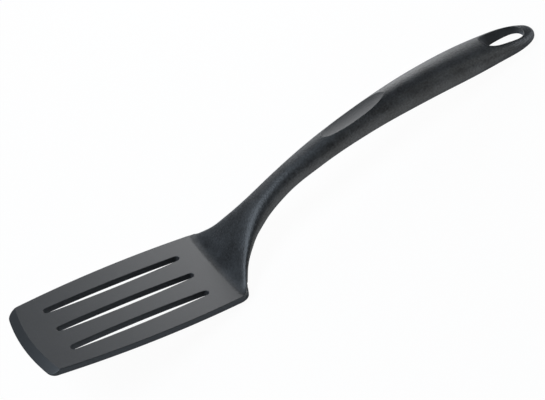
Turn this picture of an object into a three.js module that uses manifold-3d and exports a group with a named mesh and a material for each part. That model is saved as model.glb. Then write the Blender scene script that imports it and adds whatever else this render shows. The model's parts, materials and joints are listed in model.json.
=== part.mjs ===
// Slotted nylon kitchen turner, in millimetres, +Z up, lying as it rests on a worktop: on its heel and the
// end of its handle. It is modelled with the blade level: x runs from the heel line to the handle end,
// y across, z up from the blade's underside. The last section tips the whole tool into its resting place.
import * as THREE from "three";
import { mergeVertices } from "three/addons/utils/BufferGeometryUtils.js";
import Module from "manifold-3d";

// Blade: a slotted plate with a bevelled front edge. The tool stands on a narrow flat along the heel's
// lower edge.
const bladeLength = 132;
const bladeThickness = 4.2;
const bladeFrontWidth = 67.6;
const bladeMidWidth = 76;
const bladeHeelWidth = 73.2;
const frontRadius = 144;
const frontCornerRun = 5;
const bevelWidth = 5.2;
const frontEdgeThickness = 0.7;
const heelLedge = 2.9;
const heelCornerRun = 10.5;
const standWidth = 0.2;
const slotCount = 3;
const slotPitch = 20;
const slotWidth = 6.6;
const slotEndWidth = 4.3;
const slotFrontMargin = 22.1;
const slotHeelMargin = 19.1;

// Tang: the blade's tongue that runs up inside the neck
const tangThickness = 2.2;
const tangRootWidth = 28;
const tangRootDepth = 2.2;
const tangLength = 94;
const tangLiftRun = 11;
const tangLiftLead = 3;

// Handle: each station lies run further back and climb higher than the one before it. Width is the whole
// width there, crown and belly are the heights above and below the centre line, square rounds the crown.
const stations = [
  { run: -6, climb: -7, width: 88, crown: 3, belly: 1.2, square: 4 },
  { run: 7, climb: 8.3, width: 65.6, crown: 2.7, belly: 1.2, square: 3.2 },
  { run: 6, climb: 8.2, width: 47, crown: 3.1, belly: 1.4, square: 3 },
  { run: 8, climb: 8.7, width: 33.4, crown: 4.7, belly: 1.8, square: 2.8 },
  { run: 12, climb: 9.4, width: 22.4, crown: 7.1, belly: 2.2, square: 2.5 },
  { run: 17, climb: 10.8, width: 16.8, crown: 8.3, belly: 2.4, square: 2.4 },
  { run: 26, climb: 11.8, width: 18, crown: 9.2, belly: 2.4, square: 2.3 },
  { run: 35, climb: 10.4, width: 19.6, crown: 11.7, belly: 2.4, square: 2.3 },
  { run: 40, climb: 8.3, width: 23.6, crown: 13.1, belly: 2.4, square: 2.3 },
  { run: 35, climb: 5.5, width: 26.2, crown: 11.4, belly: 2.4, square: 2.3 },
  { run: 25, climb: 3.5, width: 25.4, crown: 8, belly: 2.2, square: 2.2 },
  { run: 22.4, climb: 2.5, width: 25.4, crown: 3, belly: 1.6, square: 2 },
];
const noseLength = 28;
const noseSquare = 2.7;
const bellySquare = 4;

// Hollow, cover and posts on the handle's underside
const clearance = 0.3;
const rimWidth = 4.7;
const coverThickness = 2;
const coverStart = 30;
const coverEndMargin = 7;
const coverLedge = 1.4;
const gripHollowStart = 130;
const gripWall = 2.8;
const postRadius = 1.4;
const socketDepth = 2.6;
const tangPosts = [56, 82];
const gripPosts = [141, 171];
const bossRadius = 3.2;
const bossGap = 2.5;

// Thumb rest: a dished inlay on top of the handle
const thumbStart = 78;
const thumbLength = 45;
const thumbDepth = 1;
const scoopWidth = 48;
const scoopHeight = 10;
const padWidth = 10;
const padThickness = 1.6;
const padRim = 1.4;
const padSquare = 2;

// Hanging hole and its liner. The hole leans, in degrees, so that it is nearly upright on a worktop.
const holeSetback = 20.2;
const holeLength = 26.2;
const holeWidth = 15.6;
const holeSquare = 2.9;
const holeLean = 12;
const linerWall = 1.1;

// Mesh fineness, and how far a cutter reaches past what it cuts
const curveSteps = 6;
const bevelSides = 150;
const crownSteps = 16;
const bellySteps = 10;
const neckStep = 3;
const gripStep = 7;
const noseSteps = 9;
const ovalSteps = 36;
const scoopSides = 40;
const scoopRings = 24;
const pinSides = 20;
const beyond = 8;

const wasm = await Module();
wasm.setup();

// A closed three.js geometry as a solid that can be joined and cut
function solid(geometry) {
  const bare = geometry.clone();
  bare.deleteAttribute("normal");
  bare.deleteAttribute("uv");
  const merged = mergeVertices(bare, 1e-5);
  const triVerts = new Uint32Array(merged.index.array);
  const vertProperties = new Float32Array(merged.attributes.position.array);
  return new wasm.Manifold(new wasm.Mesh({ numProp: 3, vertProperties, triVerts }));
}

function geometryOf(body) {
  const mesh = body.getMesh();
  const geometry = new THREE.BufferGeometry();
  geometry.setAttribute("position", new THREE.BufferAttribute(new Float32Array(mesh.vertProperties), 3));
  geometry.setIndex(new THREE.BufferAttribute(new Uint32Array(mesh.triVerts), 1));
  geometry.computeVertexNormals();
  return geometry;
}

function box(x0, x1, halfWidth, z0, z1) {
  const geometry = new THREE.BoxGeometry(x1 - x0, 2 * halfWidth, z1 - z0);
  geometry.translate((x0 + x1) / 2, 0, (z0 + z1) / 2);
  return solid(geometry);
}

// The handle's centre line and section sizes, smooth through the stations
const stationX = [];
const stationValues = { rise: [], width: [], crown: [], belly: [], square: [] };
let runningX = 0;
let runningRise = 0;
for (const station of stations) {
  runningX += station.run;
  runningRise += station.climb;
  stationX.push(runningX);
  stationValues.rise.push(runningRise);
  for (const key of ["width", "crown", "belly", "square"]) {
    stationValues[key].push(station[key]);
  }
}
const handleEnd = runningX;
const noseStart = handleEnd - noseLength;

function slopeAt(values, i) {
  const last = values.length - 1;
  const secant = (k) => (values[k + 1] - values[k]) / (stationX[k + 1] - stationX[k]);
  if (i === 0) return secant(0);
  if (i === last) return secant(last - 1);
  const before = stationX[i] - stationX[i - 1];
  const after = stationX[i + 1] - stationX[i];
  return (secant(i - 1) * after + secant(i) * before) / (before + after);
}

function along(key, x) {
  const values = stationValues[key];
  let i = 0;
  while (i < stationX.length - 2 && x > stationX[i + 1]) i += 1;
  const span = stationX[i + 1] - stationX[i];
  const t = (x - stationX[i]) / span;
  const startSlope = slopeAt(values, i) * span;
  const endSlope = slopeAt(values, i + 1) * span;
  const rise = values[i + 1] - values[i];
  return values[i] + t * (startSlope + t * (3 * rise - 2 * startSlope - endSlope
    + t * (startSlope + endSlope - 2 * rise)));
}

function halfWidth(x) {
  const plain = Math.min(along("width", Math.min(x, noseStart)), bladeHeelWidth) / 2;
  if (x <= noseStart) return plain;
  const share = (x - noseStart) / noseLength;
  return plain * Math.sqrt(Math.max(1 - share ** noseSquare, 0));
}

// The turned frame of the section at x: its X runs along the handle, its Z up through the crown
function frameAt(x) {
  const step = 0.01;
  const slope = (along("rise", x + step) - along("rise", x - step)) / (2 * step);
  const tangent = new THREE.Vector3(1, 0, slope).normalize();
  const across = new THREE.Vector3(0, 1, 0);
  const normal = new THREE.Vector3().crossVectors(tangent, across);
  const frame = new THREE.Matrix4().makeBasis(tangent, across, normal);
  return frame.setPosition(x, 0, bladeThickness + along("rise", x));
}

function pointOn(x, y, height) {
  return new THREE.Vector3(0, y, height).applyMatrix4(frameAt(x));
}

function crownHeight(x) {
  return along("crown", x);
}

function bellyDepth(x) {
  return along("belly", x);
}

// A closed solid through rings of points, one ring of [y, height] pairs for each x
function loft(places, ringAt) {
  const positions = [];
  const index = [];
  let count = 0;
  for (const x of places) {
    const ring = ringAt(x);
    count = ring.length;
    for (const [y, height] of ring) {
      positions.push(...pointOn(x, y, height).toArray());
    }
  }
  for (let i = 0; i < places.length - 1; i += 1) {
    for (let j = 0; j < count; j += 1) {
      const here = i * count + j;
      const side = i * count + (j + 1) % count;
      index.push(here, side, here + count);
      index.push(side, side + count, here + count);
    }
  }
  const lastRing = (places.length - 1) * count;
  for (let j = 1; j < count - 1; j += 1) {
    index.push(0, j + 1, j);
    index.push(lastRing, lastRing + j, lastRing + j + 1);
  }
  const geometry = new THREE.BufferGeometry();
  geometry.setAttribute("position", new THREE.Float32BufferAttribute(positions, 3));
  geometry.setIndex(index);
  return solid(geometry);
}

function spread(x0, x1, step) {
  const count = Math.max(2, Math.ceil((x1 - x0) / step));
  return Array.from({ length: count + 1 }, (_, i) => x0 + (x1 - x0) * i / count);
}

function rounded(value, square) {
  return Math.sign(value) * Math.abs(value) ** (2 / square);
}

// The handle's outer section: a domed crown over a flat belly with rounded edges
function outerRing(x) {
  const half = halfWidth(x);
  const crown = crownHeight(x);
  const belly = bellyDepth(x);
  const square = along("square", x);
  const ring = [];
  for (let i = 0; i <= crownSteps; i += 1) {
    const angle = Math.PI * i / crownSteps;
    ring.push([half * rounded(Math.cos(angle), square), crown * rounded(Math.sin(angle), square)]);
  }
  for (let i = 1; i < bellySteps; i += 1) {
    const angle = Math.PI * (1 + i / bellySteps);
    ring.push([half * rounded(Math.cos(angle), bellySquare), belly * rounded(Math.sin(angle), bellySquare)]);
  }
  return ring;
}

function flatRing(half, low, high) {
  return [[half, low], [half, high], [-half, high], [-half, low]];
}

// A round pin square to the handle at x, between two heights
function pin(x, low, high, radius) {
  const geometry = new THREE.CylinderGeometry(radius, radius, high - low, pinSides);
  geometry.rotateX(Math.PI / 2);
  geometry.translate(0, 0, (low + high) / 2);
  geometry.applyMatrix4(frameAt(x));
  return solid(geometry);
}

// A prism of an oval outline in the frame's X and Y, between two heights along its Z
function ovalPrism(frame, halfLength, halfBreadth, square, low, high) {
  const points = [];
  for (let i = 0; i < ovalSteps; i += 1) {
    const angle = 2 * Math.PI * i / ovalSteps;
    const x = halfLength * rounded(Math.cos(angle), square);
    const y = halfBreadth * rounded(Math.sin(angle), square);
    points.push(new THREE.Vector2(x, y));
  }
  const outline = new THREE.Shape(points);
  const geometry = new THREE.ExtrudeGeometry(outline, { depth: high - low, bevelEnabled: false });
  geometry.translate(0, 0, low);
  geometry.applyMatrix4(frame);
  return solid(geometry);
}

// Blade plate with its slots and its front bevel
const frontCentreX = frontRadius - bladeLength;

function frontX(y) {
  return frontCentreX - Math.sqrt(frontRadius ** 2 - y ** 2);
}

function bladeOutline() {
  const frontHalf = bladeFrontWidth / 2;
  const heelHalf = bladeHeelWidth / 2;
  const cornerX = frontX(frontHalf);
  const sideStart = cornerX + frontCornerRun;
  const sideEnd = heelLedge - heelCornerRun;
  const bulge = bladeMidWidth - (frontHalf + heelHalf) / 2;
  const arcEnd = Math.asin((frontHalf - frontCornerRun) / frontRadius);
  const shape = new THREE.Shape();
  shape.moveTo(heelLedge, -(heelHalf - heelCornerRun));
  shape.lineTo(heelLedge, heelHalf - heelCornerRun);
  shape.quadraticCurveTo(heelLedge, heelHalf, sideEnd, heelHalf);
  shape.quadraticCurveTo((sideStart + sideEnd) / 2, bulge, sideStart, frontHalf);
  shape.quadraticCurveTo(cornerX, frontHalf, frontX(frontHalf - frontCornerRun), frontHalf - frontCornerRun);
  shape.absarc(frontCentreX, 0, frontRadius, Math.PI - arcEnd, Math.PI + arcEnd, false);
  shape.quadraticCurveTo(cornerX, -frontHalf, sideStart, -frontHalf);
  shape.quadraticCurveTo((sideStart + sideEnd) / 2, -bulge, sideEnd, -heelHalf);
  shape.quadraticCurveTo(heelLedge, -heelHalf, heelLedge, -(heelHalf - heelCornerRun));
  return shape;
}

function slotOutline(y) {
  const radius = slotEndWidth / 2;
  const front = -bladeLength + slotFrontMargin + radius;
  const back = -slotHeelMargin - radius;
  const bulge = slotWidth - radius;
  const path = new THREE.Path();
  path.moveTo(front, y - radius);
  path.quadraticCurveTo((front + back) / 2, y - bulge, back, y - radius);
  path.absarc(back, y, radius, -Math.PI / 2, Math.PI / 2, false);
  path.quadraticCurveTo((front + back) / 2, y + bulge, front, y + radius);
  path.absarc(front, y, radius, Math.PI / 2, 3 * Math.PI / 2, false);
  return path;
}

function bladePlate() {
  const shape = bladeOutline();
  for (let i = 0; i < slotCount; i += 1) {
    shape.holes.push(slotOutline((i - (slotCount - 1) / 2) * slotPitch));
  }
  const settings = { depth: bladeThickness, bevelEnabled: false, curveSegments: curveSteps };
  return solid(new THREE.ExtrudeGeometry(shape, settings));
}

// A ring about the front arc's centre whose inner cone leaves the bevel on the blade
function bevelCutter() {
  const fall = (bladeThickness - frontEdgeThickness) / bevelWidth;
  const inner = frontRadius - bevelWidth;
  const outer = frontRadius + beyond;
  const profile = [
    new THREE.Vector2(inner, bladeThickness),
    new THREE.Vector2(outer, bladeThickness - fall * (outer - inner)),
    new THREE.Vector2(outer, bladeThickness + beyond),
    new THREE.Vector2(inner, bladeThickness + beyond),
    new THREE.Vector2(inner, bladeThickness),
  ];
  const geometry = new THREE.LatheGeometry(profile, bevelSides);
  geometry.rotateX(Math.PI / 2);
  geometry.translate(frontCentreX, 0, 0);
  return solid(geometry);
}

// What lies below the worktop at the heel when the tool is tipped by the tilt
const standX = heelLedge - standWidth;

function standCutter(tilt) {
  const geometry = new THREE.BoxGeometry(2 * beyond, 2 * bladeMidWidth, 2 * beyond);
  geometry.translate(0, 0, -beyond);
  geometry.rotateY(-tilt);
  geometry.translate(standX, 0, 0);
  return solid(geometry);
}

// Tang: flush with the neck's underside at the heel, then lifted clear of the cover
const tangRoot = -tangRootDepth;
const tangEnd = tangRoot + tangLength;
const tangLiftEnd = coverStart - tangLiftLead;
const tangLiftStart = tangLiftEnd - tangLiftRun;

function tangHalf(x) {
  return Math.min(tangRootWidth / 2, halfWidth(x) - rimWidth - clearance);
}

function tangLow(x) {
  const lift = THREE.MathUtils.smoothstep(x, tangLiftStart, tangLiftEnd);
  return -bellyDepth(x) + lift * (coverThickness + clearance);
}

function tangHigh(x) {
  return tangLow(x) + tangThickness;
}

function makeBlade(tilt) {
  const tangRing = (x) => flatRing(tangHalf(x), tangLow(x), tangHigh(x));
  const tang = loft(spread(tangRoot, tangEnd, neckStep), tangRing);
  const below = box(-bladeLength, tangEnd, bladeMidWidth, -beyond, 0);
  let blade = bladePlate().subtract(bevelCutter()).add(tang.subtract(below)).subtract(standCutter(tilt));
  for (const x of tangPosts) {
    blade = blade.subtract(pin(x, tangLow(x) - clearance, tangHigh(x) + clearance, postRadius + clearance));
  }
  return blade;
}

// Handle body: neck and grip in one shell, open underneath for the tang and the cover
const holeX = handleEnd - holeSetback;
const coverEnd = holeX - holeLength / 2 - linerWall - coverEndMargin;

function coverHalf(x) {
  return halfWidth(x) - rimWidth - clearance;
}

function coverTop(x) {
  return -bellyDepth(x) + coverThickness;
}

function bossLow(x) {
  return coverTop(x) + bossGap;
}

function hollowRoof(x) {
  return crownHeight(x) - gripWall;
}

function underside(x) {
  return -bellyDepth(x) - beyond;
}

function outerPlaces() {
  const neckEnd = coverStart;
  const neck = spread(stationX[0], neckEnd, neckStep);
  const grip = spread(neckEnd, noseStart, gripStep).slice(1);
  const nose = Array.from({ length: noseSteps }, (_, i) => {
    const turn = Math.PI / 2 * (i + 1) / (noseSteps + 0.5);
    return noseStart + noseLength * Math.sin(turn);
  });
  return [...neck, ...grip, ...nose];
}

const handleSolid = loft(outerPlaces(), outerRing);

// Thumb rest frame: level with the two ends of the scoop on the handle's ridge
function thumbFrame() {
  const start = pointOn(thumbStart, 0, crownHeight(thumbStart));
  const thumbEnd = thumbStart + thumbLength;
  const end = pointOn(thumbEnd, 0, crownHeight(thumbEnd));
  const direction = new THREE.Vector3().subVectors(end, start).normalize();
  const across = new THREE.Vector3(0, 1, 0);
  const normal = new THREE.Vector3().crossVectors(direction, across);
  const middle = start.clone().add(end).multiplyScalar(0.5);
  return new THREE.Matrix4().makeBasis(direction, across, normal).setPosition(middle);
}

function scoop(lowered) {
  const share = 1 - thumbDepth / scoopHeight;
  const halfLength = thumbLength / 2 / Math.sqrt(1 - share ** 2);
  const geometry = new THREE.SphereGeometry(1, scoopSides, scoopRings);
  geometry.rotateX(Math.PI / 2);
  geometry.scale(halfLength, scoopWidth / 2, scoopHeight);
  geometry.translate(0, 0, scoopHeight - thumbDepth - lowered);
  geometry.applyMatrix4(thumbFrame());
  return solid(geometry);
}

function padPrism(gap) {
  const halfLength = thumbLength / 2 - padRim + gap;
  return ovalPrism(thumbFrame(), halfLength, padWidth / 2 + gap, padSquare, -beyond, beyond);
}

function eyePrism(grown) {
  const halfLength = holeLength / 2 + grown;
  const lean = new THREE.Matrix4().makeRotationY(-THREE.MathUtils.degToRad(holeLean));
  const frame = frameAt(holeX).multiply(lean);
  return ovalPrism(frame, halfLength, holeWidth / 2 + grown, holeSquare, -2 * beyond, 2 * beyond);
}

function makeHandleBody() {
  const foot = box(-bladeLength, handleEnd, bladeMidWidth, -beyond, bladeThickness + clearance);
  const tangGroove = loft(
    spread(stationX[0], tangEnd + clearance, neckStep),
    (x) => flatRing(tangHalf(x) + clearance, underside(x), tangHigh(x) + clearance),
  );
  const coverGroove = loft(
    spread(coverStart - clearance, coverEnd + clearance, gripStep),
    (x) => flatRing(coverHalf(x) + clearance, underside(x), coverTop(x) + clearance),
  );
  const gripHollow = loft(
    spread(gripHollowStart, coverEnd - coverLedge, gripStep),
    (x) => flatRing(coverHalf(x) - coverLedge, underside(x), hollowRoof(x)),
  );
  let body = handleSolid.subtract(foot).subtract(tangGroove).subtract(coverGroove).subtract(gripHollow);
  for (const x of tangPosts) {
    const roof = tangHigh(x) + clearance;
    body = body.subtract(pin(x, roof - clearance, roof + socketDepth + clearance, postRadius + clearance));
  }
  for (const x of gripPosts) {
    const low = bossLow(x);
    const boss = pin(x, low, hollowRoof(x) + gripWall / 2, bossRadius);
    const socket = pin(x, low - clearance, low + socketDepth + clearance, postRadius + clearance);
    body = body.add(boss).subtract(socket);
  }
  const pocket = padPrism(clearance).intersect(scoop(padThickness + clearance));
  return body.subtract(scoop(0)).subtract(pocket).subtract(eyePrism(linerWall + clearance));
}

// Underside cover: a strip flush with the belly, with posts that pin the tang and plug into the body
function makeUndersideCover() {
  let cover = loft(
    spread(coverStart, coverEnd, gripStep),
    (x) => flatRing(coverHalf(x), -bellyDepth(x), coverTop(x)),
  );
  for (const x of tangPosts) {
    const top = tangHigh(x) + clearance + socketDepth;
    cover = cover.add(pin(x, coverTop(x) - coverThickness / 2, top, postRadius));
  }
  for (const x of gripPosts) {
    const top = bossLow(x) + socketDepth;
    cover = cover.add(pin(x, coverTop(x) - coverThickness / 2, top, postRadius));
  }
  return cover;
}

function makeThumbRest() {
  return padPrism(0).intersect(scoop(padThickness)).subtract(scoop(0));
}

// Hole liner: a ring that is flush with the handle's top and underside
function makeHoleLiner() {
  return handleSolid.intersect(eyePrism(linerWall)).subtract(eyePrism(0));
}

function piece(name, body, color, roughness) {
  const material = new THREE.MeshStandardMaterial({ color, roughness, metalness: 0 });
  const mesh = new THREE.Mesh(geometryOf(body), material);
  mesh.name = name;
  return mesh;
}

// Resting place: the tilt about the heel at which the handle end meets the worktop
function restingTilt(body) {
  const points = body.getMesh().vertProperties;
  let tilt = Math.PI / 2;
  for (let i = 0; i < points.length; i += 3) {
    const back = points[i] - standX;
    if (back > bladeThickness) {
      tilt = Math.min(tilt, Math.atan2(points[i + 2], back));
    }
  }
  return tilt;
}

const handleBody = makeHandleBody();
const tilt = restingTilt(handleBody);

const tool = new THREE.Group();
tool.add(
  piece("blade", makeBlade(tilt), 0x5a5c5e, 0.5),
  piece("handle_body", handleBody, 0x303234, 0.65),
  piece("underside_cover", makeUndersideCover(), 0x2a2b2d, 0.7),
  piece("thumb_rest", makeThumbRest(), 0x6c6e70, 0.45),
  piece("hole_liner", makeHoleLiner(), 0x35373a, 0.5),
);
tool.rotation.y = tilt;
tool.updateMatrixWorld(true);
const bounds = new THREE.Box3().setFromObject(tool, true);
tool.position.set(-(bounds.min.x + bounds.max.x) / 2, 0, -bounds.min.z);

const turner = new THREE.Group();
turner.add(tool);

export default turner;
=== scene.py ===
import json
import math
from itertools import accumulate

import bmesh
import bpy
from mathutils import Matrix, Vector
from mathutils.bvhtree import BVHTree


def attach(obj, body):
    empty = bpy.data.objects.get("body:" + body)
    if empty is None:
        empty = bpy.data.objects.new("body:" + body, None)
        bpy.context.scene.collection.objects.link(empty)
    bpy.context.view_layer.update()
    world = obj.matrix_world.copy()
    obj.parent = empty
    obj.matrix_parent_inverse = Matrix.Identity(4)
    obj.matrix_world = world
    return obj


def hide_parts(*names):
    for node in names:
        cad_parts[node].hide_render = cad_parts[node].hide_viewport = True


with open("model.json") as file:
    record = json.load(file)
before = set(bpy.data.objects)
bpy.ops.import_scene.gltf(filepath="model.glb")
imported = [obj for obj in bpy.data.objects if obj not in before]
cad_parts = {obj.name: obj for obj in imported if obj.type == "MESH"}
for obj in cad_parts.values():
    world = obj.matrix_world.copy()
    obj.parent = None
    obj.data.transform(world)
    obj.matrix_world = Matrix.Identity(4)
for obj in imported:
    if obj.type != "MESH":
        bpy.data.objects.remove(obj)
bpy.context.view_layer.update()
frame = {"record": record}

# Blade
# A flat nylon plate with three slots, injection moulded in one shot with the tang behind it. Its front edge
# is bevelled on top so that it slides under food, and the mould leaves a small round along its outline and
# round the slots.

# Sizes are millimetres in the tool's own frame: x from the heel line to the handle's end, y across, and z up
# from the blade's underside. The record's rest face tells how that frame lies on the worktop.
mm = 0.001
heel_behind_rest_face = 10
rest_face = frame["record"]["mounts"][0]
up = -Vector(rest_face["axis"])
across = Vector((0, 1, 0))
back = across.cross(up)
tool = Matrix((back, across, up)).transposed().to_4x4()
tool.translation = Vector(rest_face["pos_m"]) + heel_behind_rest_face * mm * back
tool = tool @ Matrix.Scale(mm, 4)

blade_length = 132
blade_thickness = 4.2
front_half = 33.8
middle_width = 76
heel_half = 36.6
front_radius = 144
front_corner = 5
bevel_width = 5.2
front_edge = 0.7
heel_ledge = 2.9
heel_corner = 10.5
edge_round = 0.45
edge_steps = 4
round_share = 0.4
corner_steps = 16
side_steps = 80
front_steps = 40
slot_rows = (-20, 0, 20)
slot_width = 6.6
slot_end_radius = 2.15
slot_front = -107.75
slot_back = -21.25
slot_side_steps = 50
slot_end_steps = 20

front_centre = front_radius - blade_length
bevel_line = front_radius - bevel_width
bevel_fall = (blade_thickness - front_edge) / bevel_width


def bend(start, control, end, steps):
    """Points of a curve from start, drawn towards control, up to but not with end."""
    points = []
    for i in range(steps):
        t = i / steps
        points.append((1 - t) ** 2 * Vector(start) + 2 * t * (1 - t) * Vector(control) + t ** 2 * Vector(end))
    return points


def arc(centre, radius, start, end, steps):
    """Points of an arc between two angles in degrees, up to but not with its end."""
    points = []
    for i in range(steps):
        angle = math.radians(start + (end - start) * i / steps)
        points.append(Vector(centre) + radius * Vector((math.cos(angle), math.sin(angle))))
    return points


def front_x(y):
    return front_centre - math.sqrt(front_radius ** 2 - y ** 2)


def blade_outline():
    corner_x = front_x(front_half)
    side_front = corner_x + front_corner
    side_heel = heel_ledge - heel_corner
    bulge = middle_width - (front_half + heel_half) / 2
    arc_half = front_half - front_corner
    arc_start = (front_x(arc_half), arc_half)
    turn = math.degrees(math.asin(arc_half / front_radius))
    heel_start = (heel_ledge, heel_half - heel_corner)
    heel_end = (side_heel, heel_half)
    side_end = (side_front, front_half)
    far = bend(heel_start, (heel_ledge, heel_half), heel_end, corner_steps)
    far += bend(heel_end, ((side_front + side_heel) / 2, bulge), side_end, side_steps)
    far += bend(side_end, (corner_x, front_half), arc_start, corner_steps)
    far += arc((front_centre, 0), front_radius, 180 - turn, 180, front_steps)
    near = [Vector((point.x, -point.y)) for point in reversed(far)]
    return far + [Vector((-blade_length, 0))] + near


def slot_outline(y):
    bulge = slot_width - slot_end_radius
    middle = (slot_front + slot_back) / 2
    low = y - slot_end_radius
    high = y + slot_end_radius
    loop = bend((slot_front, low), (middle, y - bulge), (slot_back, low), slot_side_steps)
    loop += arc((slot_back, y), slot_end_radius, -90, 90, slot_end_steps)
    loop += bend((slot_back, high), (middle, y + bulge), (slot_front, high), slot_side_steps)
    loop += arc((slot_front, y), slot_end_radius, 90, 270, slot_end_steps)
    return loop[::-1]


def blade_top(point):
    reach = math.hypot(point.x - front_centre, point.y) - bevel_line
    return blade_thickness - max(reach, 0) * bevel_fall


def loop_edges(bm, ring):
    return [bm.edges.get((ring[i - 1], ring[i])) for i in range(len(ring))]


def bridge(bm, lower, upper):
    """Walls between two rings of as many corners."""
    for i in range(len(lower)):
        bm.faces.new((lower[i - 1], lower[i], upper[i], upper[i - 1]))


def blade_wall(bm, loop):
    """The rounded wall along one outline. Gives its ring on the underside and its ring on top."""
    rings = []
    for is_top in (False, True):
        for i in range(edge_steps + 1):
            turn = math.pi / 2 * (edge_steps - i if is_top else i) / edge_steps
            ring = []
            for j, point in enumerate(loop):
                way = (loop[(j + 1) % len(loop)] - loop[j - 1]).normalized()
                radius = min(edge_round, round_share * blade_top(point))
                place = point + radius * (1 - math.sin(turn)) * Vector((-way.y, way.x))
                depth = radius * (1 - math.cos(turn))
                ring.append(bm.verts.new((*place, blade_top(place) - depth if is_top else depth)))
            rings.append(ring)
    for lower, upper in zip(rings, rings[1:]):
        bridge(bm, lower, upper)
    return rings[0], rings[-1]


def bevel_band(bm, rim):
    """The sloping band along the front. Gives the edges of the flat top that is left behind it."""
    crease = {}
    for corner in rim:
        spoke = Vector((corner.co.x - front_centre, corner.co.y))
        if spoke.length > bevel_line:
            foot = spoke.normalized() * bevel_line
            crease[corner] = bm.verts.new((front_centre + foot.x, foot.y, blade_thickness))
    flat_edges = []
    for a, b in zip(rim, rim[1:] + rim[:1]):
        inner = [crease[v] for v in (b, a) if v in crease]
        if inner:
            bm.faces.new((a, b, *inner))
        flat_edges.append(bm.edges.get((crease.get(a, a), crease.get(b, b))))
    return flat_edges


def blade_solid():
    bm = bmesh.new()
    under, rim = blade_wall(bm, blade_outline())
    under_edges = loop_edges(bm, under)
    top_edges = bevel_band(bm, rim)
    for row in slot_rows:
        slot_under, slot_rim = blade_wall(bm, slot_outline(row))
        under_edges += loop_edges(bm, slot_under)
        top_edges += loop_edges(bm, slot_rim)
    for edges in (under_edges, top_edges):
        bmesh.ops.triangle_fill(bm, use_beauty=True, edges=edges)
    return bm


def draw(name, bm):
    """Turns a solid that was drawn in millimetres into an object, still in the tool's frame."""
    bmesh.ops.recalc_face_normals(bm, faces=bm.faces)
    mesh = bpy.data.meshes.new(name)
    bm.to_mesh(mesh)
    bm.free()
    piece = bpy.data.objects.new(name, mesh)
    bpy.context.scene.collection.objects.link(piece)
    return piece


sharp_angle = math.radians(26)


def settle(piece, material, node=None):
    """Sets a drawn piece in its place, shades it, and ties it to the frame."""
    piece.data.transform(tool)
    piece.data.shade_smooth()
    piece.data.set_sharp_from_angle(angle=sharp_angle)
    shading = piece.modifiers.new("even_shading", "WEIGHTED_NORMAL")
    shading.keep_sharp = True
    shading.weight = 100
    piece.data.materials.clear()
    piece.data.materials.append(material)
    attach(piece, "root")
    if node:
        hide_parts(node)


def linear(hex_colour):
    """An sRGB hex colour as linear red, green, blue and alpha."""
    channels = [int(hex_colour[i:i + 2], 16) / 255 for i in (1, 3, 5)]
    return [c / 12.92 if c <= 0.04045 else ((c + 0.055) / 1.055) ** 2.4 for c in channels] + [1]


def add_node(tree, kind, inputs=None, **settings):
    """Adds a node with its settings. An input is a value, or a socket to link to it."""
    node = tree.nodes.new("ShaderNode" + kind)
    for name, value in settings.items():
        setattr(node, name, value)
    for name, value in (inputs or {}).items():
        if isinstance(value, bpy.types.NodeSocket):
            tree.links.new(value, node.inputs[name])
        else:
            node.inputs[name].default_value = value
    return node


def moulded_nylon(name, dark, pale, roughness, grain_mm, depth_mm):
    """Nylon with the grain of the steel that it was moulded against, and faint clouds where the melt flowed.
    The real grain is taken as about 0.1 mm wide, too fine to show, so it is drawn coarser."""
    cloud_mm = 14
    material = bpy.data.materials.new(name)
    material.use_nodes = True
    tree = material.node_tree
    shader = tree.nodes["Principled BSDF"]
    shader.inputs["Roughness"].default_value = roughness
    shader.inputs["IOR"].default_value = 1.53
    place = add_node(tree, "TexCoord").outputs["Object"]
    cloud = add_node(tree, "TexNoise", {"Vector": place, "Scale": 1 / (cloud_mm * mm), "Detail": 3})
    grain = add_node(tree, "TexNoise", {"Vector": place, "Scale": 1 / (grain_mm * mm), "Detail": 3})
    mixed = add_node(tree, "Math", {0: cloud.outputs["Fac"], 1: grain.outputs["Fac"]}, operation="ADD")
    share = add_node(tree, "MapRange", {"Value": mixed.outputs[0], "From Min": 0.7, "From Max": 1.3})
    colour = add_node(tree, "Mix", {0: share.outputs[0], 6: linear(dark), 7: linear(pale)}, data_type="RGBA")
    bump = add_node(tree, "Bump", {"Height": grain.outputs["Fac"], "Distance": depth_mm * mm})
    tree.links.new(colour.outputs[2], shader.inputs["Base Color"])
    tree.links.new(bump.outputs["Normal"], shader.inputs["Normal"])
    return material


blade_nylon = moulded_nylon("satin_moulded_nylon", "#26282a", "#2b2d2f", 0.45, 1.0, 0.012)
settle(draw("slotted_blade", blade_solid()), blade_nylon, "blade")

# Tang
# The tongue of the blade's own moulding that runs up inside the neck. The photo doesn't show it. It lies
# flush with the neck's underside at first and follows the handle's centre line.

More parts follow.
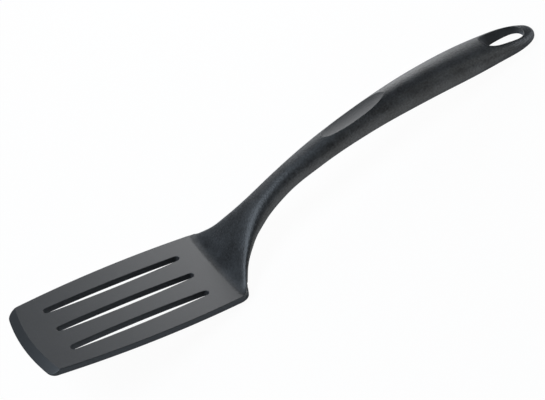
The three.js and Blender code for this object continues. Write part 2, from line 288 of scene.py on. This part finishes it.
# The centre line is set by a few stations from the heel to the end of the grip. Each station lies run
# further back and climb higher than the one before. Width is the whole width there, crown and belly the
# heights above and below the centre line, and square how boxy the crown is.
stations = (
    {"run": -6, "climb": -7, "width": 88, "crown": 3, "belly": 1.2, "square": 4},
    {"run": 7, "climb": 8.3, "width": 65.6, "crown": 2.7, "belly": 1.2, "square": 3.2},
    {"run": 6, "climb": 8.2, "width": 47, "crown": 3.1, "belly": 1.4, "square": 3},
    {"run": 8, "climb": 8.7, "width": 33.4, "crown": 4.7, "belly": 1.8, "square": 2.8},
    {"run": 12, "climb": 9.4, "width": 22.4, "crown": 7.1, "belly": 2.2, "square": 2.5},
    {"run": 17, "climb": 10.8, "width": 16.8, "crown": 8.3, "belly": 2.4, "square": 2.4},
    {"run": 26, "climb": 11.8, "width": 18, "crown": 9.2, "belly": 2.4, "square": 2.3},
    {"run": 35, "climb": 10.4, "width": 19.6, "crown": 11.7, "belly": 2.4, "square": 2.3},
    {"run": 40, "climb": 8.3, "width": 23.6, "crown": 13.1, "belly": 2.4, "square": 2.3},
    {"run": 35, "climb": 5.5, "width": 26.2, "crown": 11.4, "belly": 2.4, "square": 2.3},
    {"run": 25, "climb": 3.5, "width": 25.4, "crown": 8, "belly": 2.2, "square": 2.2},
    {"run": 22.4, "climb": 2.5, "width": 25.4, "crown": 3, "belly": 1.6, "square": 2},
)
station_x = list(accumulate(station["run"] for station in stations))
lines = {key: [station[key] for station in stations] for key in ("width", "crown", "belly", "square")}
lines["rise"] = list(accumulate(station["climb"] for station in stations))
handle_start = station_x[0]
handle_end = station_x[-1]
nose_length = 28
nose_square = 2.7
nose_start = handle_end - nose_length
rim_width = 4.7
seam = 0.12
tang_root = -2.2
tang_end = 91.8
tang_half = 14
tang_thickness = 2.2
tang_lift = (16, 27)
cover_thickness = 2
loft_step = 1.5


def slope_at(values, i):
    rises = [(b - a) / (x1 - x0) for a, b, x0, x1 in zip(values, values[1:], station_x, station_x[1:])]
    if i in (0, len(rises)):
        return rises[min(i, len(rises) - 1)]
    before = station_x[i] - station_x[i - 1]
    after = station_x[i + 1] - station_x[i]
    return (rises[i - 1] * after + rises[i] * before) / (before + after)


def along(key, x):
    """The smooth line through the stations' values at x."""
    values = lines[key]
    i = 0
    while i < len(values) - 2 and x > station_x[i + 1]:
        i += 1
    span = station_x[i + 1] - station_x[i]
    t = (x - station_x[i]) / span
    start = slope_at(values, i) * span
    end = slope_at(values, i + 1) * span
    rise = values[i + 1] - values[i]
    return values[i] + t * (start + t * (3 * rise - 2 * start - end + t * (start + end - 2 * rise)))


def half_width(x):
    plain = min(along("width", min(x, nose_start)) / 2, heel_half)
    share = max(x - nose_start, 0) / nose_length
    return plain * math.sqrt(max(1 - share ** nose_square, 0))


def section_frame(x):
    """The frame of the handle's section at x: along the handle, across it, and up through the crown."""
    step = 0.01
    slope = (along("rise", x + step) - along("rise", x - step)) / (2 * step)
    run = Vector((1, 0, slope)).normalized()
    place = Matrix((run, across, run.cross(across))).transposed().to_4x4()
    place.translation = (x, 0, blade_thickness + along("rise", x))
    return place


def spread(start, end, step):
    count = max(2, math.ceil((end - start) / step))
    return [start + (end - start) * i / count for i in range(count + 1)]


def loft(places, ring_at):
    """A closed solid through one ring of (y, height) points for each x."""
    bm = bmesh.new()
    rings = []
    for x in places:
        place = section_frame(x)
        rings.append([bm.verts.new(place @ Vector((0, y, height))) for y, height in ring_at(x)])
    for lower, upper in zip(rings, rings[1:]):
        bridge(bm, lower, upper)
    bm.faces.new(rings[0])
    bm.faces.new(rings[-1])
    return bm


def flat_ring(half, low, high):
    return [(half, low), (half, high), (-half, high), (-half, low)]


def cut_level(bm, height):
    """Takes off what lies below a level and closes the cut."""
    geometry = bm.verts[:] + bm.edges[:] + bm.faces[:]
    sliced = bmesh.ops.bisect_plane(
        bm, geom=geometry, plane_co=(0, 0, height), plane_no=(0, 0, 1), clear_inner=True)
    edges = [item for item in sliced["geom_cut"] if isinstance(item, bmesh.types.BMEdge)]
    bmesh.ops.triangle_fill(bm, use_beauty=True, edges=edges)


def tang_low(x):
    t = min(max((x - tang_lift[0]) / (tang_lift[1] - tang_lift[0]), 0), 1)
    return -along("belly", x) + t * t * (3 - 2 * t) * (cover_thickness + 2 * seam)


def tang_reach(x):
    return min(tang_half, half_width(x) - rim_width)


def tang_solid():
    bm = loft(
        spread(tang_root, tang_end, loft_step),
        lambda x: flat_ring(tang_reach(x) - seam, tang_low(x), tang_low(x) + tang_thickness),
    )
    cut_level(bm, blade_thickness)
    return bm


settle(draw("blade_tang", tang_solid()), blade_nylon)

# Handle body
# The flared neck and the domed grip, moulded in one piece of nylon with grooves underneath for the tang and
# the cover. Its mould was spark eroded, which leaves a fine glittering grain that fades out towards the
# blade, and its foot runs out softly on the blade.
crown_points = 72
belly_points = 40
ring_steps = 240
foot_step = 0.3
neck_step = 0.75
grip_step = 1.25
nose_steps = 44
belly_square = 4
tip_round = 3.5
foot_blend = 3.5
foot_gap = 0.01
foot_inset = 0.25
foot_end = 6
grain_lift = 12
hole_x = 207.2
hole_half_length = 13.1
hole_half_width = 7.8
hole_square = 2.9
hole_lean = 12
hole_steps = 120
liner_wall = 1.1
thumb_start = 78
thumb_length = 45
thumb_depth = 1
scoop_half_width = 24
scoop_height = 10
rim_steps = 120
rim_half_width = 8
rim_search = (0.2, 1.15)
search_rounds = 24
dish_rings = 24
pad_thickness = 1.6
cover_start = 30
cover_margin = 7
cover_end = hole_x - hole_half_length - liner_wall - cover_margin
cover_corner = 5
corner_turns = 10
clear_of = 12
beyond = 36


def even_points(points, count):
    """As many points spread evenly along a line of points, the last one left out."""
    tiny = 1e-9
    lengths = [0] + list(accumulate(math.dist(a, b) for a, b in zip(points, points[1:])))
    spaced = []
    j = 0
    for i in range(count):
        target = lengths[-1] * i / count
        while lengths[j + 1] < target:
            j += 1
        t = (target - lengths[j]) / max(lengths[j + 1] - lengths[j], tiny)
        spaced.append(tuple(a + (b - a) * t for a, b in zip(points[j], points[j + 1])))
    return spaced


def oval(angle, half_length, half_breadth, square):
    """A point of a rounded oblong: square 2 is an ellipse, and more is boxier."""
    reach = []
    for value in (math.cos(angle), math.sin(angle)):
        reach.append(math.copysign(abs(value) ** (2 / square), value))
    return half_length * reach[0], half_breadth * reach[1]


def handle_ring(x):
    """A domed crown over a flat belly, thinned to a round at the handle's tip."""
    past = max(x - handle_end + tip_round, 0) / tip_round
    thin = math.sqrt(1 - past ** 2)
    half = half_width(x)
    fine = [math.pi * i / ring_steps for i in range(ring_steps + 1)]
    crown = [oval(a, half, thin * along("crown", x), along("square", x)) for a in fine]
    belly = [oval(a + math.pi, half, thin * along("belly", x), belly_square) for a in fine]
    return even_points(crown, crown_points) + even_points(belly, belly_points)


def handle_places():
    foot = spread(handle_start, foot_end, foot_step)
    neck = spread(foot_end, cover_start, neck_step)[1:]
    grip = spread(cover_start, nose_start, grip_step)[1:]
    turns = [math.pi / 2 * i / nose_steps for i in range(1, nose_steps)]
    nose = [nose_start + nose_length * math.sin(turn) for turn in turns]
    return foot + neck + grip + nose


def foot_reach(x):
    """Half the width that the foot may have at x, so that it stays on the blade's rounded heel."""
    share = math.sqrt(min(max(heel_ledge - x, 0) / heel_corner, 1))
    return heel_half - heel_corner * (1 - share) ** 2 - foot_inset


def handle_solid():
    bm = loft(handle_places(), handle_ring)
    bm.verts.ensure_lookup_table()
    for i, corner in enumerate(bm.verts):
        height = corner.co.z - blade_thickness
        if abs(height) < foot_blend:
            reach = foot_reach(corner.co.x)
            corner.co.y = min(max(corner.co.y, -reach), reach)
            if i % (crown_points + belly_points) <= crown_points:
                share = (height + foot_blend) / (2 * foot_blend)
                corner.co.z = blade_thickness + foot_blend * (2 * share ** 3 - share ** 4)
    cut_level(bm, blade_thickness + foot_gap)
    bmesh.ops.recalc_face_normals(bm, faces=bm.faces)
    return bm


def surface_height(surface, place, x, y, side):
    """The height of the handle's outside over a point of a frame, from above (side 1) or below (side -1)."""
    start = place @ Vector((x, y, side * beyond))
    way = place.to_3x3() @ Vector((0, 0, -side))
    hit = surface.ray_cast(start, way)[0]
    return (place.inverted() @ hit).z


def thumb_frame():
    """A frame on the handle's ridge, level with both ends of the thumb rest."""
    ends = []
    for x in (thumb_start, thumb_start + thumb_length):
        ends.append(section_frame(x) @ Vector((0, 0, along("crown", x))))
    run = (ends[1] - ends[0]).normalized()
    place = Matrix((run, across, run.cross(across))).transposed().to_4x4()
    place.translation = (ends[0] + ends[1]) / 2
    return place


def dish_height(x, y):
    share = 1 - thumb_depth / scoop_height
    half_length = thumb_length / 2 / math.sqrt(1 - share ** 2)
    inside = 1 - (x / half_length) ** 2 - (y / scoop_half_width) ** 2
    return scoop_height * (1 - math.sqrt(max(inside, 0))) - thumb_depth


def thumb_rim(surface):
    """The outline where the dish of the thumb rest meets the handle's crown, found along each direction."""
    place = thumb_frame()
    rim = []
    for i in range(rim_steps):
        angle = 2 * math.pi * i / rim_steps
        way = Vector((thumb_length / 2 * math.cos(angle), rim_half_width * math.sin(angle)))
        low, high = rim_search
        for _ in range(search_rounds):
            share = (low + high) / 2
            point = share * way
            if dish_height(*point) < surface_height(surface, place, *point, 1):
                low = share
            else:
                high = share
        rim.append(low * way)
    return rim


def dish_sheet(bm, edge, height):
    """A sheet of rings from the dish's middle out to an edge, at a given height. Gives its outer ring."""
    place = thumb_frame()
    middle = bm.verts.new(place @ Vector((0, 0, height(0, 0))))
    last = None
    for k in range(1, dish_rings + 1):
        share = k / dish_rings
        ring = [bm.verts.new(place @ Vector((*(share * p), height(*(share * p))))) for p in edge]
        if last:
            bridge(bm, last, ring)
        else:
            for i in range(len(ring)):
                bm.faces.new((middle, ring[i - 1], ring[i]))
        last = ring
    return last


def dish_plug(rim, gap, lowered, top):
    """A solid over the dish: its floor is the dish lowered, its walls follow the rim, its top is given."""
    bm = bmesh.new()
    edge = [point - gap * point.normalized() for point in rim]
    floor_rim = dish_sheet(bm, edge, lambda x, y: dish_height(x, y) - lowered)
    top_rim = dish_sheet(bm, edge, top)
    bridge(bm, floor_rim, top_rim)
    return bm


def hole_frame():
    """The frame of the hanging hole, which leans so that it is nearly upright on a worktop."""
    return section_frame(hole_x) @ Matrix.Rotation(-math.radians(hole_lean), 4, "Y")


def hole_spot(i, grown):
    """A point of the hole's outline, which may be grown all round."""
    angle = 2 * math.pi * i / hole_steps
    return oval(angle, hole_half_length + grown, hole_half_width + grown, hole_square)


def hole_prism(grown):
    bm = bmesh.new()
    place = hole_frame()
    rings = []
    for height in (-beyond, beyond):
        ring = []
        for i in range(hole_steps):
            x, y = hole_spot(i, grown)
            ring.append(bm.verts.new(place @ Vector((x, y, height))))
        rings.append(ring)
    bridge(bm, *rings)
    for ring in rings:
        bm.faces.new(ring)
    return bm


def cover_reach(x):
    """Half the cover's width, drawn in to round corners at both ends."""
    plain = half_width(x) - rim_width
    from_end = min(x - cover_start, cover_end - x)
    share = 1 - min(max(from_end, 0) / cover_corner, 1)
    return plain - cover_corner * (1 - math.sqrt(1 - share ** 2))


def cover_places(start, end):
    turns = [cover_corner * (1 - math.cos(math.pi / 2 * i / corner_turns)) for i in range(corner_turns)]
    middle = spread(start + cover_corner, end - cover_corner, loft_step)
    return [start + turn for turn in turns] + middle + [end - turn for turn in reversed(turns)]


def cover_groove():
    def ring(x):
        return flat_ring(cover_reach(x) + seam, -clear_of, seam + cover_thickness - along("belly", x))
    return loft(cover_places(cover_start, cover_end), ring)


def tang_groove():
    def ring(x):
        return flat_ring(tang_reach(x), -clear_of, tang_low(x) + tang_thickness + seam)
    return loft(spread(handle_start, tang_end + seam, loft_step), ring)


def cut(piece, cutter):
    """Takes a cutter's solid out of a piece."""
    step = piece.modifiers.new("cut", "BOOLEAN")
    step.operation = "DIFFERENCE"
    step.solver = "EXACT"
    step.object = cutter
    seen = piece.evaluated_get(bpy.context.evaluated_depsgraph_get())
    mesh = bpy.data.meshes.new_from_object(seen)
    piece.modifiers.clear()
    piece.data = mesh
    bpy.data.objects.remove(cutter)


handle_bm = handle_solid()
outside = BVHTree.FromBMesh(handle_bm)
rim = thumb_rim(outside)
handle = draw("neck_and_grip", handle_bm)
cut(handle, draw("tang_cutter", tang_groove()))
cut(handle, draw("cover_cutter", cover_groove()))
cut(handle, draw("hole_cutter", hole_prism(liner_wall + seam)))
cut(handle, draw("thumb_cutter", dish_plug(rim, 0, pad_thickness + seam, lambda x, y: clear_of)))
# The grain's pale specks on near black in this colour are painted glints, where the grain would catch the
# light; the bump gives the grain itself.
handle_nylon = moulded_nylon("spark_textured_nylon", "#111213", "#3b3d3f", 0.45, 1.2, 0.22)
tree = handle_nylon.node_tree
place = add_node(tree, "TexCoord").outputs["Object"]
level = add_node(tree, "VectorMath", {0: place, 1: up}, operation="DOT_PRODUCT").outputs["Value"]
foot_level = tool.translation.dot(up) + blade_thickness * mm
grained = add_node(tree, "MapRange", {
    "Value": level, "From Min": foot_level, "From Max": foot_level + grain_lift * mm}).outputs[0]
tree.links.new(grained, tree.nodes["Bump"].inputs["Strength"])
settle(handle, handle_nylon, "handle_body")

# Underside cover
# A plain nylon strip that closes the handle's channel from below, flush with the belly, with rounded ends.
# It is moulded flat and pressed in, so its surface is matte and it shows only a hairline seam all round.
cover_edge = 0.3


def cover_ring(x):
    half = cover_reach(x)
    low = -along("belly", x)
    high = low + cover_thickness
    return [(half, low + cover_edge), (half, high), (-half, high), (-half, low + cover_edge),
            (cover_edge - half, low), (half - cover_edge, low)]


cover_nylon = moulded_nylon("matte_moulded_nylon", "#242628", "#2a2c2e", 0.6, 1.1, 0.03)
cover = draw("underside_strip", loft(cover_places(cover_start, cover_end), cover_ring))
settle(cover, cover_nylon, "underside_cover")

# Thumb rest
# A dished nylon inlay let into the crown of the grip. Its face is polished smoother than the grip around it,
# and it runs out to the crisp edge where the dish meets the crown.
pad_nylon = moulded_nylon("smooth_moulded_nylon", "#26282a", "#2b2d2f", 0.42, 1.0, 0.012)
pad = draw("thumb_dish", dish_plug(rim, seam, pad_thickness, dish_height))
settle(pad, pad_nylon, "thumb_rest")

# Hole liner
# A smooth nylon ring that lines the hanging hole through the end of the grip, flush above and below.
# Its inner edges are rounded, so a thin light line shows along the rim.
lip_radius = 0.7
lip_steps = 6
edge_clear = 0.05


def liner_solid(surface):
    bm = bmesh.new()
    place = hole_frame()
    rings = []
    for i in range(hole_steps):
        ring = []
        for side in (-1, 1):
            outline = [(liner_wall, 0)]
            for k in range(lip_steps + 1):
                turn = math.pi / 2 * k / lip_steps
                outline.append((lip_radius * (1 - math.sin(turn)), lip_radius * (1 - math.cos(turn))))
            for grown, depth in outline[::side]:
                x, y = hole_spot(i, grown)
                level = surface_height(surface, place, *hole_spot(i, max(grown, edge_clear)), side)
                ring.append(bm.verts.new(place @ Vector((x, y, level - side * depth))))
        rings.append(ring)
    for lower, upper in zip(rings, rings[1:] + rings[:1]):
        bridge(bm, lower, upper)
    return bm


liner_nylon = moulded_nylon("lining_nylon", "#26282a", "#2b2d2f", 0.4, 1.0, 0.012)
settle(draw("hole_lining", liner_solid(outside)), liner_nylon, "hole_liner")

# Floor
# A plain white sheet. It is lit as any surface and keeps a faint shadow, but the camera sees it close to pure
# white, as in a studio shot.
floor_half = 4
floor_white = 0.96
bm = bmesh.new()
corners = ((-1, -1), (1, -1), (1, 1), (-1, 1))
bm.faces.new([bm.verts.new((x * floor_half, y * floor_half, 0)) for x, y in corners])
floor = draw("floor", bm)
sheet = bpy.data.materials.new("white_paper")
sheet.use_nodes = True
tree = sheet.node_tree
tree.nodes.remove(tree.nodes["Principled BSDF"])
ray = add_node(tree, "LightPath")
share = add_node(tree, "Math", {0: ray.outputs["Is Camera Ray"], 1: floor_white}, operation="MULTIPLY")
paper = add_node(tree, "BsdfDiffuse", {"Color": linear("#f4f4f4")})
glow = add_node(tree, "Emission", {"Color": linear("#ffffff"), "Strength": 1})
look = add_node(tree, "MixShader", {0: share.outputs[0], 1: paper.outputs[0], 2: glow.outputs[0]})
tree.links.new(look.outputs[0], tree.nodes["Material Output"].inputs["Surface"])
floor.data.materials.append(sheet)

# Light
# Two softboxes behind, which grey the blade and brighten the grip's upper edge, a cool one high on the left
# for the stripe down the neck, two on the right for the near side and the handle's end, a dim card on the
# floor in front that lights the grip from below, and a dim even room. Places are in metres.
tool_middle = (0, 0, 0.02)


def softbox(name, place, aim, width, height, watts, colour):
    lamp = bpy.data.lights.new(name, "AREA")
    lamp.shape = "RECTANGLE"
    lamp.size = width
    lamp.size_y = height
    lamp.energy = watts
    lamp.color = linear(colour)[:3]
    light = bpy.data.objects.new(name, lamp)
    light.location = place
    light.visible_camera = False
    light.rotation_euler = (Vector(aim) - Vector(place)).to_track_quat("-Z", "Y").to_euler()
    bpy.context.scene.collection.objects.link(light)


softbox("back_softbox", (0.25, 0.42, 0.20), tool_middle, 0.25, 0.30, 1.2, "#fcfdff")
softbox("rear_softbox", (-0.04, 1.09, 0.53), tool_middle, 0.50, 0.50, 1.75, "#fbfcff")
softbox("high_softbox", (-0.50, 0.02, 0.89), tool_middle, 0.60, 0.60, 7.8, "#e4f1ff")
softbox("right_softbox", (0.83, -0.70, 0.53), tool_middle, 0.50, 0.50, 1.3, "#fffdf4")
softbox("end_softbox", (0.70, -0.12, 0.12), (0.16, 0, 0.01), 0.30, 0.20, 0.95, "#eef6ff")
softbox("front_card", (0.14, -0.17, 0.005), (0.14, -0.169, 1), 0.40, 0.30, 0.24, "#fffaf0")
world = bpy.data.worlds.new("room")
world.use_nodes = True
world.node_tree.nodes["Background"].inputs["Color"].default_value = linear("#ffffff")
world.node_tree.nodes["Background"].inputs["Strength"].default_value = 0.03
bpy.context.scene.world = world
bpy.context.scene.view_settings.view_transform = "Standard"

# Camera
# A long lens on the tool's near side, above it and towards the blade, rolled a little so that the tool runs
# across the picture from its lower left to its upper right. Place and aim are in the tool's frame.
camera_place = (-403.0, -972.4, 826.2)
camera_aim = (39.0, 0.7, 34.55)
camera_roll = 6.61
focal_length = 145.3
sensor_width = 36
lens = bpy.data.cameras.new("camera")
lens.sensor_fit = "HORIZONTAL"
lens.sensor_width = sensor_width
lens.lens = focal_length
camera = bpy.data.objects.new("camera", lens)
gaze = Vector(camera_aim) - Vector(camera_place)
turned = gaze.to_track_quat("-Z", "Y").to_matrix() @ Matrix.Rotation(-math.radians(camera_roll), 3, "Z")
camera.matrix_world = Matrix.LocRotScale(
    tool @ Vector(camera_place), (tool.to_3x3().normalized() @ turned).to_quaternion(), None)
bpy.context.scene.collection.objects.link(camera)
bpy.context.scene.camera = camera
